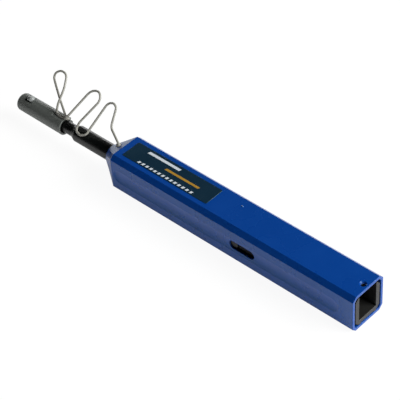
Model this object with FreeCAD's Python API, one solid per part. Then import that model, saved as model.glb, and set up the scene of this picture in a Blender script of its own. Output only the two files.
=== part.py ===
import FreeCAD, Part
import math
import os

# Push-type cleaning pen for fibre connector ferrules, in millimetres.
# X runs along the pen, with the nozzle towards -X and the open back towards +X. Z is up.
# Lengths along the pen are measured from the sleeve's front shoulder, where its taper ends.
# The finished pieces are moved so that the origin is the centre of the flat that it rests on.

# Sleeve
BODY_SIZE = 18.0
BODY_LENGTH = 126.4
BODY_CHAMFER = 1.9
SLEEVE_WALL = 1.2
TAPER_LENGTH = 8.4
COLLAR_WALL = 0.4
CAVITY_FRONT = -6.5
CAVITY_SHOULDER = 2.0
POCKET_FRONT = 1.0
POCKET_SETBACK = 6.8
POCKET_HEIGHT = 6.4
POCKET_DEPTH = 0.8
POCKET_WALL = 0.8
SLOT_FRONT = 64.5
SLOT_LENGTH = 12.9
SLOT_WIDTH = 4.0
STRAP_HOLE_RADIUS = 1.1
STRAP_HOLE_SETBACK = 2.4
STRAP_HOLE_SINK = 0.45
STRAP_HOLE_SINK_DEPTH = 0.35
GATE_MARK_X = 61.4
GATE_MARK_Y = 3.2
GATE_MARK_RADIUS = 0.45
GATE_MARK_DEPTH = 0.12
LABEL_FRONT = 3.1
LABEL_LENGTH = 46.3
LABEL_WIDTH = 10.0
LABEL_THICKNESS = 0.12
LABEL_CORNER = 0.7

# Push stroke and clearances
STROKE = 9.0
STOP_GAP = 0.1
RUNNING_GAP = 0.08
SLIDE_GAP = 0.15
SIDE_GAP = 0.3
WORKING_GAP = 0.2

# Core frame
CORE_GAP = 0.7
CORE_CHAMFER = 1.6
CORE_WALL = 2.0
CORE_FRONT = 10.0
CORE_FRONT_WALL = 4.0
CORE_RECESS = 0.1
BEARING_WALL_X = 42.0
BEARING_WALL = 3.0
SPRING_WALL_X = 88.0
SPRING_WALL = 2.0
BULKHEAD_DEPTH = 7.8
BULKHEAD = 2.0
SKID_WIDTH = 1.2
LUG_REACH = 0.8
COVER_THICKNESS = 1.8

# Nozzle
NOZZLE_RADIUS = 3.7
NOZZLE_STEP_X = -28.5
NOZZLE_STEP_LENGTH = 2.5
NECK_RADIUS = 2.65
NECK_END = -44.0
TIP_RADIUS = 2.3
TIP_END = -50.0
TIP_CHAMFER = 0.5
NOZZLE_BORE = 1.85
SPRING_BORE = 2.7
SPRING_BORE_END = 0.0
FLANGE_THICKNESS = 1.5
CLIP_THICKNESS = 1.0
CLIP_DEPTH = 0.5
CLIP_RADIUS = 4.7
CLIP_OPENING = 4.6

# Cleaning head and cam
HEAD_RADIUS = 1.6
HEAD_TIP_RADIUS = 1.15
HEAD_TIP_LENGTH = 4.0
HEAD_WEB = 0.42
HEAD_SLOT = 0.7
HEAD_FLANGE_RADIUS = 2.3
HEAD_FLANGE = 1.2
HEAD_TRAVEL = 1.2
BLADE_THICKNESS = 0.8
BLADE_HEIGHT = 2.4
BLADE_END = 19.0
CAM_FRONT = 12.5
CAM_RADIUS = 3.0
CAM_BODY_FRONT = 17.0
CAM_REAR_JOURNAL = 2.0
CAM_REAR_END = 46.0
CAM_BORE = 0.95
CAM_GROOVE_DEPTH = 1.0
CAM_GROOVE_WIDTH = 1.75
CAM_PITCH = 36.0
CAM_STEPS = 12
FINGER_X = 27.0
FINGER_RADIUS = 0.65
HEAD_SPRING_RADIUS = 2.0
HEAD_SPRING_WIRE = 0.45
HEAD_SPRING_TURNS = 6

# Thread feed
REEL_DROP = 0.2
TAKE_UP_X = 62.0
SUPPLY_X = 75.0
REEL_HUB = 1.7
REEL_FLANGE = 0.8
AXLE_RADIUS = 0.75
AXLE_BLIND = 0.6
TAKE_UP_ROOM = 1.4
SUPPLY_ROOM = 0.8
PACK_CROWN = 0.15
MODULE = 0.5
PINION_TEETH = 12
PRESSURE_ANGLE = 20.0
ADDENDUM = 0.4
DEDENDUM = 0.6
BACKLASH = 0.14
PINION_WIDTH = 2.0
RACK_WIDTH = 1.9
RACK_FRONT = 57.5
RACK_BACK = 76.0
RATCHET_TEETH = 12
RATCHET_DEPTH = 0.45
RATCHET_RADIUS = 3.1
RATCHET_RIM = 3.9
RATCHET_HEIGHT = 0.6
PAWL_ROOT = 0.5
PAWL_LEAF = 0.4
BACKSTOP_TEETH = 18
BACKSTOP_DEPTH = 0.5
BACKSTOP_ANGLE = 232.0
BACKSTOP_LEAD = 2.5
BRAKE_ANGLE = -42.0
LEAF_FOOT = 2.2
LEAF_FOOT_HEIGHT = 1.3
LEAF_REACH = 10.0
THREAD_RADIUS = 0.175
THREAD_LEAD = 1.0
STRAND_Y = 0.65
GUIDE_PIN_RADIUS = 0.6
GUIDE_PIN_DROP = 1.7
GUIDE_PIN_XS = (53.0, 68.5)
GUIDE_PIN_LEAD = 0.4

# Rack bar and return spring
BAR_THICKNESS = 0.5
BAR_FRONT = 24.5
SEAT_SETBACK = 4.6
SEAT_THICKNESS = 2.0
BAR_EDGE_Y = -2.5
SPRING_ROD_RADIUS = 1.2
RETURN_SPRING_RADIUS = 2.9
RETURN_SPRING_WIRE = 0.8
RETURN_SPRING_TURNS = 9

# Guide cap
CAP_RIM_X = -36.5
CAP_TIP_X = -63.6
CAP_RIM_RADIUS = 4.15
CAP_TIP_RADIUS = 4.0
CAP_EDGE = 1.5
CAP_MOUTH_RADIUS = 3.35
CAP_MOUTH_DEPTH = 4.0
CAP_BORE_END = -51.5
CAP_CHAMBER_RADIUS = 2.4
INSERT_BACK = -56.0
INSERT_RECESS = 0.7
INSERT_RADIUS = 2.1
FERRULE_RADIUS = 1.26
FERRULE_LEAD = 0.5
WINDOW_X = (-59.7, -55.7)
WINDOW_WIDTH = 3.8
NUB_X = (-58.6, -56.1)
NUB_WIDTH = 2.3
NUB_PROUD = 0.55
NUB_CHAMFER = 0.35
CAP_FLAT_LENGTH = 6.5
CAP_FLAT_DROP = 0.5
RIM_NOTCH_WIDTH = 2.0
RIM_NOTCH_DEPTH = 1.2
RIM_NOTCH_RISE = 0.0

# Strap
WIRE_RADIUS = 0.5
LUG_X = -4.0
LUG_LENGTH = 1.8
LUG_WIDTH = 1.7
LUG_FLOOR = 4.4
LUG_TOP = 7.6
LUG_HEAD = 0.3
LUG_CLEARANCE = 0.25

# How far a cutter runs past the face that it cuts
OVERCUT = 1.0

AXIS_Z = BODY_SIZE / 2
HALF = BODY_SIZE / 2
CAVITY_WIDTH = BODY_SIZE - 2 * SLEEVE_WALL
CAVITY_TOP = BODY_SIZE - SLEEVE_WALL
CAVITY_CHAMFER = BODY_CHAMFER - SLEEVE_WALL * (2 - math.sqrt(2))
COLLAR_BORE = NOZZLE_RADIUS + RUNNING_GAP
POCKET_BACK = BODY_LENGTH - POCKET_SETBACK
CORE_WIDTH = CAVITY_WIDTH - 2 * CORE_GAP
CORE_HALF = CORE_WIDTH / 2
CORE_INNER = CORE_HALF - CORE_WALL
CORE_BASE_Z = AXIS_Z - CORE_HALF
CORE_TOP_Z = AXIS_Z + CORE_HALF
CORE_FLOOR_Z = CORE_BASE_Z + CORE_WALL
CORE_BACK = BODY_LENGTH - CORE_RECESS
BULKHEAD_X = BODY_LENGTH - BULKHEAD_DEPTH - BULKHEAD
FRONT_WALL_BACK = CORE_FRONT + CORE_FRONT_WALL
FLANGE_RADIUS = CORE_INNER - SIDE_GAP
SEAT_X = BULKHEAD_X - SEAT_SETBACK
SEAT_WIDTH = 2 * (CORE_INNER - 2 * SIDE_GAP)
REEL_Z = AXIS_Z - REEL_DROP
REEL_RADIUS = REEL_Z - CORE_FLOOR_Z - SIDE_GAP
TAKE_UP_PACK = REEL_RADIUS - TAKE_UP_ROOM
SUPPLY_PACK = REEL_RADIUS - SUPPLY_ROOM
PINION_BACK_Y = CORE_INNER - 2 * WORKING_GAP - PINION_WIDTH
PINION_FACE = (PINION_BACK_Y, PINION_BACK_Y + PINION_WIDTH)
RACK_FACE = (PINION_BACK_Y, PINION_BACK_Y + RACK_WIDTH)
REEL_BACK_Y = WORKING_GAP - CORE_INNER
REEL_FRONT_Y = PINION_BACK_Y - RATCHET_HEIGHT - WORKING_GAP
PACK_Y = (REEL_BACK_Y + REEL_FRONT_Y) / 2
GUIDE_PIN_Z = CORE_TOP_Z - GUIDE_PIN_DROP
PITCH_RADIUS = MODULE * PINION_TEETH / 2
PITCH_LINE_Z = REEL_Z + PITCH_RADIUS
TOOTH_PITCH = math.pi * MODULE
BAR_Z = CAVITY_TOP - BAR_THICKNESS
CAM_RATE = 2 * math.pi / CAM_PITCH
THREAD_TURN_X = TIP_END - HEAD_TIP_LENGTH
LUG_FLOOR_Z = AXIS_Z + LUG_FLOOR
LUG_TOP_Z = AXIS_Z + LUG_TOP

V = FreeCAD.Vector


def box(x, y, z):
    """A block between the low and high ends of three spans."""
    return Part.makeBox(x[1] - x[0], y[1] - y[0], z[1] - z[0], V(x[0], y[0], z[0]))


def rod_x(x, radius, y=0.0, z=AXIS_Z):
    """A round rod along X, on the pen's axis unless told otherwise."""
    return Part.makeCylinder(radius, x[1] - x[0], V(x[0], y, z), V(1, 0, 0))


def rod_y(y, radius, x, z):
    """A round rod across the pen."""
    return Part.makeCylinder(radius, y[1] - y[0], V(x, y[0], z), V(0, 1, 0))


def turned(profile):
    """A turned solid about the pen's axis, from (x, radius) points along its outside."""
    ends = [(profile[0][0], 0.0)] + list(profile) + [(profile[-1][0], 0.0)]
    points = [V(x, 0, AXIS_Z + radius) for x, radius in ends]
    face = Part.Face(Part.makePolygon(points + points[:1]))
    return face.revolve(V(0, 0, AXIS_Z), V(1, 0, 0), 360)


def cone_x(x, radii, y=0.0, z=AXIS_Z):
    """A cone frustum along X."""
    return Part.makeCone(radii[0], radii[1], x[1] - x[0], V(x[0], y, z), V(1, 0, 0))


def profile_xz(points, y):
    """A prism across the pen, from (x, z) points and its span in y."""
    wire = Part.makePolygon([V(x, y[0], z) for x, z in points + points[:1]])
    return Part.Face(wire).extrude(V(0, y[1] - y[0], 0))


def outline(width, chamfer, x):
    """A square outline with chamfered corners, across the pen at x."""
    h = width / 2
    k = h - chamfer
    corners = [(-k, -h), (k, -h), (h, -k), (h, k), (k, h), (-k, h), (-h, k), (-h, -k)]
    points = [V(x, y, AXIS_Z + z) for y, z in corners]
    return Part.makePolygon(points + points[:1])


def square_prism(width, chamfer, x):
    return Part.Face(outline(width, chamfer, x[0])).extrude(V(x[1] - x[0], 0, 0))


def round_outline(radius, x, corner_angle=34.0):
    """A circle in eight arcs, one for each side and chamfer of the square outline."""
    side_angle = 90.0 - corner_angle
    angle = -90.0 - side_angle / 2
    edges = []
    for span in (side_angle, corner_angle) * 4:
        at = [math.radians(angle + span * part) for part in (0, 0.5, 1)]
        three = [V(x, radius * math.cos(a), AXIS_Z + radius * math.sin(a)) for a in at]
        edges.append(Part.Arc(*three).toShape())
        angle += span
    return Part.Wire(edges)


def taper(square, round_end):
    """The ruled transition from a square outline to a round one."""
    return Part.makeLoft([outline(*square), round_outline(*round_end)], True, True)


def pocket(side, extra):
    """The scooped grip pocket's cutter on one side, grown by extra for the wall behind it."""
    half = POCKET_HEIGHT / 2
    radius = (half ** 2 + POCKET_DEPTH ** 2) / (2 * POCKET_DEPTH)
    y = side * (HALF - POCKET_DEPTH + radius)
    ends = (POCKET_FRONT + half, POCKET_BACK - half)
    shape = rod_x(ends, radius + extra, y)
    for x in ends:
        shape = shape.fuse(Part.makeSphere(radius + extra, V(x, y, AXIS_Z)))
    return shape


def stop_slot(side):
    """The obround slot in a pocket, in which a lug of the core frame stops the stroke."""
    r = SLOT_WIDTH / 2
    y = (side * HALF - r, side * HALF + r)
    ends = (SLOT_FRONT + r, SLOT_FRONT + SLOT_LENGTH - r)
    shape = box(ends, y, (AXIS_Z - r, AXIS_Z + r))
    for x in ends:
        shape = shape.fuse(rod_y(y, r, x, AXIS_Z))
    return shape


def outer_sleeve():
    collar = COLLAR_BORE + COLLAR_WALL
    shape = square_prism(BODY_SIZE, BODY_CHAMFER, (0, BODY_LENGTH))
    shape = shape.fuse(taper((BODY_SIZE, BODY_CHAMFER, 0), (collar, -TAPER_LENGTH)))
    cavity = square_prism(CAVITY_WIDTH, CAVITY_CHAMFER, (CAVITY_SHOULDER, BODY_LENGTH + OVERCUT))
    front = taper((CAVITY_WIDTH, CAVITY_CHAMFER, CAVITY_SHOULDER), (COLLAR_BORE, CAVITY_FRONT))
    cavity = cavity.fuse(front)
    for side in (-1, 1):
        cavity = cavity.cut(pocket(side, POCKET_WALL))
    shape = shape.cut(cavity)
    shape = shape.cut(rod_x((-TAPER_LENGTH - OVERCUT, CAVITY_SHOULDER), COLLAR_BORE))
    for side in (-1, 1):
        shape = shape.cut(pocket(side, 0.0))
        shape = shape.cut(stop_slot(side))
    hole_x = BODY_LENGTH - STRAP_HOLE_SETBACK
    down = V(0, 0, -1)
    top = V(hole_x, 0, BODY_SIZE)
    shape = shape.cut(Part.makeCylinder(STRAP_HOLE_RADIUS, SLEEVE_WALL + OVERCUT, top, down))
    sink = STRAP_HOLE_RADIUS + STRAP_HOLE_SINK
    shape = shape.cut(Part.makeCone(sink, STRAP_HOLE_RADIUS, STRAP_HOLE_SINK_DEPTH, top, down))
    mark = V(GATE_MARK_X, GATE_MARK_Y, BODY_SIZE)
    shape = shape.cut(Part.makeCylinder(GATE_MARK_RADIUS, GATE_MARK_DEPTH, mark, down))
    x = (LUG_X - LUG_LENGTH / 2 - LUG_CLEARANCE, LUG_X + LUG_LENGTH / 2 + LUG_CLEARANCE)
    y = (-LUG_WIDTH / 2 - LUG_CLEARANCE, LUG_WIDTH / 2 + LUG_CLEARANCE)
    return shape.cut(box(x, y, (LUG_FLOOR_Z, BODY_SIZE)))


def label():
    x = (LABEL_FRONT, LABEL_FRONT + LABEL_LENGTH)
    y = (-LABEL_WIDTH / 2, LABEL_WIDTH / 2)
    shape = box(x, y, (BODY_SIZE, BODY_SIZE + LABEL_THICKNESS))
    upright = [e for e in shape.Edges if abs(e.tangentAt(e.FirstParameter).z) > 0.9]
    return shape.makeFillet(LABEL_CORNER, upright)


def core_frame():
    x = (CORE_FRONT, CORE_BACK)
    shape = square_prism(CORE_WIDTH, CORE_CHAMFER, x)
    bays = (
        (FRONT_WALL_BACK, BEARING_WALL_X),
        (BEARING_WALL_X + BEARING_WALL, SPRING_WALL_X),
        (SPRING_WALL_X + SPRING_WALL, BULKHEAD_X),
        (BULKHEAD_X + BULKHEAD, CORE_BACK + OVERCUT),
    )
    inner = (-CORE_INNER, CORE_INNER)
    over = CORE_TOP_Z + OVERCUT
    for bay in bays:
        shape = shape.cut(box(bay, inner, (CORE_FLOOR_Z, over)))
    # The walls between the bays stay below the bar that runs over them.
    cover_floor = CORE_TOP_Z - COVER_THICKNESS
    shape = shape.cut(box((FRONT_WALL_BACK, CORE_BACK), inner, (cover_floor, over)))
    for y in (-CORE_INNER, CORE_INNER - SKID_WIDTH):
        skid = (CAVITY_WIDTH - CORE_WIDTH) / 2 - WORKING_GAP
        rail = box(x, (y, y + SKID_WIDTH), (CORE_BASE_Z - skid, CORE_BASE_Z + skid))
        shape = shape.fuse(rail)
    lug_radius = (SLOT_LENGTH - STROKE - STOP_GAP) / 2
    lug_x = SLOT_FRONT + lug_radius + STOP_GAP / 2
    for y in ((-CORE_HALF - LUG_REACH, -CORE_HALF), (CORE_HALF, CORE_HALF + LUG_REACH)):
        shape = shape.fuse(rod_y(y, lug_radius, lug_x, AXIS_Z))
    shape = shape.cut(rod_x((CORE_FRONT - OVERCUT, FRONT_WALL_BACK + OVERCUT), NOZZLE_RADIUS))
    journal = CAM_REAR_JOURNAL + RUNNING_GAP
    wall = (BEARING_WALL_X - OVERCUT, BEARING_WALL_X + BEARING_WALL + OVERCUT)
    shape = shape.cut(rod_x(wall, journal))
    shape = shape.cut(rod_x((SPRING_WALL_X, BULKHEAD_X + BULKHEAD), SPRING_ROD_RADIUS))
    for axle in (TAKE_UP_X, SUPPLY_X):
        shape = shape.cut(rod_y((AXLE_BLIND - CORE_HALF, CORE_WIDTH), AXLE_RADIUS, axle, REEL_Z))
    for pin in GUIDE_PIN_XS:
        hole = (AXLE_BLIND - CORE_HALF, 0)
        shape = shape.cut(rod_y(hole, GUIDE_PIN_RADIUS, pin, GUIDE_PIN_Z))
    return shape.removeSplitter()


def bay_cover():
    x = (FRONT_WALL_BACK, BEARING_WALL_X + BEARING_WALL)
    z = (CORE_TOP_Z - COVER_THICKNESS, CORE_TOP_Z)
    plate = box(x, (-CORE_INNER, CORE_INNER), z)
    half = FINGER_RADIUS + 2 * WORKING_GAP
    run = (FINGER_X - STROKE - half, FINGER_X + half)
    return plate.cut(box(run, (-half, half), (z[0] - OVERCUT, z[1] + OVERCUT)))


def nozzle_tube():
    flange_back = FRONT_WALL_BACK + FLANGE_THICKNESS
    shape = turned([
        (flange_back, FLANGE_RADIUS),
        (FRONT_WALL_BACK, FLANGE_RADIUS),
        (FRONT_WALL_BACK, NOZZLE_RADIUS),
        (CORE_FRONT, NOZZLE_RADIUS),
        (CORE_FRONT, NOZZLE_RADIUS - CLIP_DEPTH),
        (CORE_FRONT - CLIP_THICKNESS, NOZZLE_RADIUS - CLIP_DEPTH),
        (CORE_FRONT - CLIP_THICKNESS, NOZZLE_RADIUS),
        (NOZZLE_STEP_X, NOZZLE_RADIUS),
        (NOZZLE_STEP_X - NOZZLE_STEP_LENGTH, NECK_RADIUS),
        (NECK_END, NECK_RADIUS),
        (NECK_END - NECK_RADIUS + TIP_RADIUS, TIP_RADIUS),
        (TIP_END + TIP_CHAMFER, TIP_RADIUS),
        (TIP_END, TIP_RADIUS - TIP_CHAMFER / 2),
    ])
    shape = shape.cut(rod_x((TIP_END - OVERCUT, flange_back + OVERCUT), NOZZLE_BORE))
    return shape.cut(rod_x((SPRING_BORE_END, flange_back + OVERCUT), SPRING_BORE))


def nozzle_clip():
    x = (CORE_FRONT - CLIP_THICKNESS, CORE_FRONT)
    ring = rod_x(x, CLIP_RADIUS).cut(rod_x(x, NOZZLE_RADIUS - CLIP_DEPTH))
    gap = (-CLIP_OPENING / 2, CLIP_OPENING / 2)
    return ring.cut(box(x, gap, (AXIS_Z - 2 * CLIP_RADIUS, AXIS_Z)))


def groove_section(x, radii, width):
    """One cross-section of the cam's helical groove, turned to its angle at x."""
    angle = CAM_RATE * (x - FINGER_X)
    corners = [(-width / 2, radii[0]), (width / 2, radii[0]), (width / 2, radii[1])]
    corners.append((-width / 2, radii[1]))
    points = []
    for across, up in corners:
        y = across * math.cos(angle) - up * math.sin(angle)
        z = across * math.sin(angle) + up * math.cos(angle)
        points.append(V(x, y, AXIS_Z + z))
    return Part.makePolygon(points + points[:1])


def cam_shaft():
    journal = SPRING_BORE - RUNNING_GAP
    shape = turned([
        (CAM_FRONT, journal),
        (CAM_BODY_FRONT, journal),
        (CAM_BODY_FRONT, CAM_RADIUS),
        (BEARING_WALL_X - WORKING_GAP, CAM_RADIUS),
        (BEARING_WALL_X - WORKING_GAP, CAM_REAR_JOURNAL),
        (CAM_REAR_END, CAM_REAR_JOURNAL),
    ])
    lean = math.atan(CAM_RATE * CAM_RADIUS)
    width = CAM_GROOVE_WIDTH / math.cos(lean)
    radii = (CAM_RADIUS - CAM_GROOVE_DEPTH, CAM_RADIUS + OVERCUT)
    start = FINGER_X - STROKE - CAM_GROOVE_WIDTH
    length = STROKE + 2 * CAM_GROOVE_WIDTH
    xs = [start + length * step / CAM_STEPS for step in range(CAM_STEPS + 1)]
    groove = Part.makeLoft([groove_section(x, radii, width) for x in xs], True, True)
    shape = shape.cut(groove)
    shape = shape.cut(rod_x((CAM_FRONT - OVERCUT, CAM_REAR_END + OVERCUT), CAM_BORE))
    half_blade = BLADE_THICKNESS / 2 + RUNNING_GAP
    half_height = BLADE_HEIGHT / 2 + RUNNING_GAP
    key_end = BLADE_END + HEAD_TRAVEL + WORKING_GAP
    key = box(
        (CAM_FRONT - OVERCUT, key_end),
        (-half_blade, half_blade),
        (AXIS_Z - half_height, AXIS_Z + half_height),
    )
    return shape.cut(key)


def head_shaft():
    flange = (SPRING_BORE_END + WORKING_GAP, SPRING_BORE_END + WORKING_GAP + HEAD_FLANGE)
    shape = turned([
        (flange[1], HEAD_FLANGE_RADIUS),
        (flange[0], HEAD_FLANGE_RADIUS),
        (flange[0], HEAD_RADIUS),
        (TIP_END + HEAD_RADIUS, HEAD_RADIUS),
        (TIP_END + HEAD_TIP_RADIUS, HEAD_TIP_RADIUS),
        (THREAD_TURN_X, HEAD_TIP_RADIUS),
    ])
    blade_y = (-BLADE_THICKNESS / 2, BLADE_THICKNESS / 2)
    blade_z = (AXIS_Z - BLADE_HEIGHT / 2, AXIS_Z + BLADE_HEIGHT / 2)
    shape = shape.fuse(box((flange[0], BLADE_END), blade_y, blade_z))
    slot_z = (AXIS_Z - HEAD_SLOT / 2, AXIS_Z + HEAD_SLOT / 2)
    for y in ((-HEAD_FLANGE_RADIUS, -HEAD_WEB), (HEAD_WEB, HEAD_FLANGE_RADIUS)):
        shape = shape.cut(box((THREAD_TURN_X - OVERCUT, flange[1]), y, slot_z))
    nose = Part.makeCylinder(HEAD_WEB, HEAD_SLOT, V(THREAD_TURN_X, 0, slot_z[0]), V(0, 0, 1))
    return shape.fuse(nose).removeSplitter()


def coil(x, radius, wire, turns):
    """A coil spring along X, round the pen's axis, with its ends at the two x values."""
    length = x[1] - x[0] - wire
    helix = Part.makeHelix(length / turns, length, radius)
    section = Part.Wire(Part.makeCircle(wire / 2, V(radius, 0, 0), V(0, 1, 0)))
    spring = Part.Wire(helix).makePipeShell([section], True, True)
    spring.rotate(V(0, 0, 0), V(0, 1, 0), 90)
    spring.translate(V(x[0] + wire / 2, 0, AXIS_Z))
    return spring


def head_spring():
    back = CAM_FRONT - RUNNING_GAP
    front = SPRING_BORE_END + WORKING_GAP + HEAD_FLANGE + RUNNING_GAP
    return coil((front, back), HEAD_SPRING_RADIUS, HEAD_SPRING_WIRE, HEAD_SPRING_TURNS)


def return_spring():
    front = SPRING_WALL_X + SPRING_WALL + RUNNING_GAP
    ends = (front, SEAT_X - RUNNING_GAP)
    return coil(ends, RETURN_SPRING_RADIUS, RETURN_SPRING_WIRE, RETURN_SPRING_TURNS)


def spring_rod():
    return rod_x((SPRING_WALL_X, BULKHEAD_X + BULKHEAD), SPRING_ROD_RADIUS)


def rack_teeth(y):
    """The row of straight-sided teeth under the bar, in step with the pinion at rest."""
    root = PITCH_LINE_Z + DEDENDUM
    tip = PITCH_LINE_Z - ADDENDUM
    lean = math.tan(math.radians(PRESSURE_ANGLE))
    at_pitch = TOOTH_PITCH / 4 - BACKLASH / 4
    points = [(RACK_FRONT, BAR_Z), (RACK_FRONT, root)]
    first = math.ceil((RACK_FRONT - TAKE_UP_X) / TOOTH_PITCH)
    last = math.floor((RACK_BACK - TAKE_UP_X) / TOOTH_PITCH) - 1
    for tooth in range(first, last + 1):
        x = TAKE_UP_X + (tooth + 0.5) * TOOTH_PITCH
        wide = at_pitch + DEDENDUM * lean
        narrow = at_pitch - ADDENDUM * lean
        points += [(x - wide, root), (x - narrow, tip), (x + narrow, tip), (x + wide, root)]
    points += [(RACK_BACK, root), (RACK_BACK, BAR_Z)]
    return profile_xz(points, y)


def rack_bar():
    seat = (SEAT_X, SEAT_X + SEAT_THICKNESS)
    shape = box((BAR_FRONT, seat[1]), (BAR_EDGE_Y, RACK_FACE[1]), (BAR_Z, CAVITY_TOP))
    shape = shape.fuse(rack_teeth(RACK_FACE))
    finger_z = AXIS_Z + CAM_RADIUS - CAM_GROOVE_DEPTH + WORKING_GAP
    foot = V(FINGER_X, 0, finger_z)
    finger = Part.makeCylinder(FINGER_RADIUS, BAR_Z - finger_z, foot, V(0, 0, 1))
    shape = shape.fuse(finger)
    y = (-SEAT_WIDTH / 2, SEAT_WIDTH / 2)
    plate = box(seat, y, (CORE_FLOOR_Z + SIDE_GAP, CAVITY_TOP))
    plate = plate.cut(rod_x((seat[0] - OVERCUT, seat[1] + OVERCUT), SPRING_ROD_RADIUS + SIDE_GAP))
    return shape.fuse(plate).removeSplitter()


def saw_teeth(count, root, tip, phase=0.0):
    """Angle and radius of a saw-toothed ring's corners, steep on the leading side."""
    step = 2 * math.pi / count
    corners = []
    for tooth in range(count):
        corners.append((phase + tooth * step, root))
        corners.append((phase + (tooth + 0.08) * step, tip))
    return corners


def ring_plate(corners, x, y):
    """A toothed plate about a reel axle, from angle and radius pairs and its span in y."""
    points = [(x + r * math.cos(a), REEL_Z + r * math.sin(a)) for a, r in corners]
    return profile_xz(points, y)


def reel(x):
    """A flanged bobbin on its axle."""
    shape = rod_y((REEL_BACK_Y, REEL_FRONT_Y), REEL_HUB, x, REEL_Z)
    flanges = (
        (REEL_BACK_Y, REEL_BACK_Y + REEL_FLANGE),
        (REEL_FRONT_Y - REEL_FLANGE, REEL_FRONT_Y),
    )
    for y in flanges:
        shape = shape.fuse(rod_y(y, REEL_RADIUS, x, REEL_Z))
    return shape


def bored(shape, x):
    bore = rod_y((-CORE_WIDTH, CORE_WIDTH), AXLE_RADIUS + RUNNING_GAP, x, REEL_Z)
    return shape.cut(bore).removeSplitter()


def take_up_reel():
    shape = reel(TAKE_UP_X)
    back = (REEL_BACK_Y, REEL_BACK_Y + REEL_FLANGE)
    step = 360 / BACKSTOP_TEETH
    phase = math.radians((BACKSTOP_ANGLE + BACKSTOP_LEAD) % step)
    teeth = saw_teeth(BACKSTOP_TEETH, REEL_RADIUS - BACKSTOP_DEPTH, REEL_RADIUS, phase)
    waste = rod_y(back, REEL_RADIUS + OVERCUT, TAKE_UP_X, REEL_Z)
    shape = shape.cut(waste.cut(ring_plate(teeth, TAKE_UP_X, back)))
    crown = (REEL_FRONT_Y, REEL_FRONT_Y + RATCHET_HEIGHT)
    inner = saw_teeth(RATCHET_TEETH, RATCHET_RADIUS, RATCHET_RADIUS - RATCHET_DEPTH)
    ring = rod_y(crown, RATCHET_RIM, TAKE_UP_X, REEL_Z)
    shape = shape.fuse(ring.cut(ring_plate(inner, TAKE_UP_X, crown)))
    return bored(shape, TAKE_UP_X)


def supply_reel():
    return bored(reel(SUPPLY_X), SUPPLY_X)


def thread_pack(x, radius):
    """The turns of thread on a reel, as one wound sleeve with a barrelled outside."""
    y = (REEL_BACK_Y + REEL_FLANGE, REEL_FRONT_Y - REEL_FLANGE)
    middle = (y[0] + y[1]) / 2
    edge = x + radius - PACK_CROWN
    arc = Part.Arc(V(edge, y[0], REEL_Z), V(x + radius, middle, REEL_Z), V(edge, y[1], REEL_Z))
    inside = [V(edge, y[1], REEL_Z), V(x + REEL_HUB, y[1], REEL_Z)]
    inside += [V(x + REEL_HUB, y[0], REEL_Z), V(edge, y[0], REEL_Z)]
    wire = Part.Wire([arc.toShape()] + Part.makePolygon(inside).Edges)
    return Part.Face(wire).revolve(V(x, 0, REEL_Z), V(0, 1, 0), 360)


def involute_tooth(centre):
    """Angle and radius pairs up one side of a pinion tooth and down the other."""
    pressure = math.radians(PRESSURE_ANGLE)
    base = PITCH_RADIUS * math.cos(pressure)
    tip = PITCH_RADIUS + ADDENDUM
    root = PITCH_RADIUS - DEDENDUM
    half = math.pi / (2 * PINION_TEETH) - BACKLASH / (4 * PITCH_RADIUS)
    half += math.tan(pressure) - pressure
    flank = [(half, root)]
    steps = 4
    for step in range(steps + 1):
        radius = base + (tip - base) * step / steps
        at = math.acos(base / radius)
        flank.append((half - (math.tan(at) - at), radius))
    rising = [(centre - a, r) for a, r in flank]
    falling = [(centre + a, r) for a, r in reversed(flank)]
    return rising + falling


def pinion():
    corners = []
    for tooth in range(PINION_TEETH):
        corners += involute_tooth(math.pi / 2 + tooth * 2 * math.pi / PINION_TEETH)
    shape = ring_plate(corners, TAKE_UP_X, PINION_FACE)
    low = REEL_FRONT_Y + RUNNING_GAP
    pawl_y = (low, low + RATCHET_HEIGHT - 2 * RUNNING_GAP)
    shape = shape.fuse(rod_y((low, PINION_FACE[0]), REEL_HUB, TAKE_UP_X, REEL_Z))
    # Each pawl leaves the hub well behind its tip and leans forward to a tooth's steep face.
    tip = RATCHET_RADIUS - WORKING_GAP
    crest = RATCHET_RADIUS - RATCHET_DEPTH - WORKING_GAP
    root = REEL_HUB - PAWL_ROOT
    pawl = [(-1.2, root), (-0.5, root), (0.25, crest - PAWL_LEAF), (0.46, crest)]
    pawl += [(0.46, tip), (0.3, tip - WORKING_GAP), (0.0, crest), (-0.6, crest - PAWL_LEAF)]
    for half_turn in (0, math.pi):
        blade = [(half_turn + angle, radius) for angle, radius in pawl]
        shape = shape.fuse(ring_plate(blade, TAKE_UP_X, pawl_y))
    return bored(shape, TAKE_UP_X)


def axle(x):
    return rod_y((AXLE_BLIND - CORE_HALF, CORE_HALF), AXLE_RADIUS, x, REEL_Z)


def thread_guide_pins():
    y = (AXLE_BLIND - CORE_HALF, REEL_FRONT_Y)
    pins = [rod_y(y, GUIDE_PIN_RADIUS, x, GUIDE_PIN_Z) for x in GUIDE_PIN_XS]
    return Part.makeCompound(pins)


def leaf(axle_x, radius, angle, foot_x, y):
    """A thin leaf from a foot on the floor to a point on a reel's rim."""
    at = math.radians(angle)
    tip = (axle_x + radius * math.cos(at), REEL_Z + radius * math.sin(at))
    side = 1 if foot_x < axle_x else -1
    floor = CORE_FLOOR_Z
    thin = LEAF_FOOT_HEIGHT / 2
    points = [(foot_x, floor), (foot_x + side * LEAF_FOOT, floor)]
    points += [(foot_x + side * (LEAF_FOOT + WORKING_GAP), floor + thin)]
    points += [(tip[0] - side * WORKING_GAP, tip[1] - thin), tip]
    points += [(tip[0] - side * thin, tip[1] - WORKING_GAP / 2)]
    points += [(foot_x + side * (LEAF_FOOT - WORKING_GAP), floor + LEAF_FOOT_HEIGHT)]
    points += [(foot_x, floor + LEAF_FOOT_HEIGHT)]
    return profile_xz(points, y)


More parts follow.
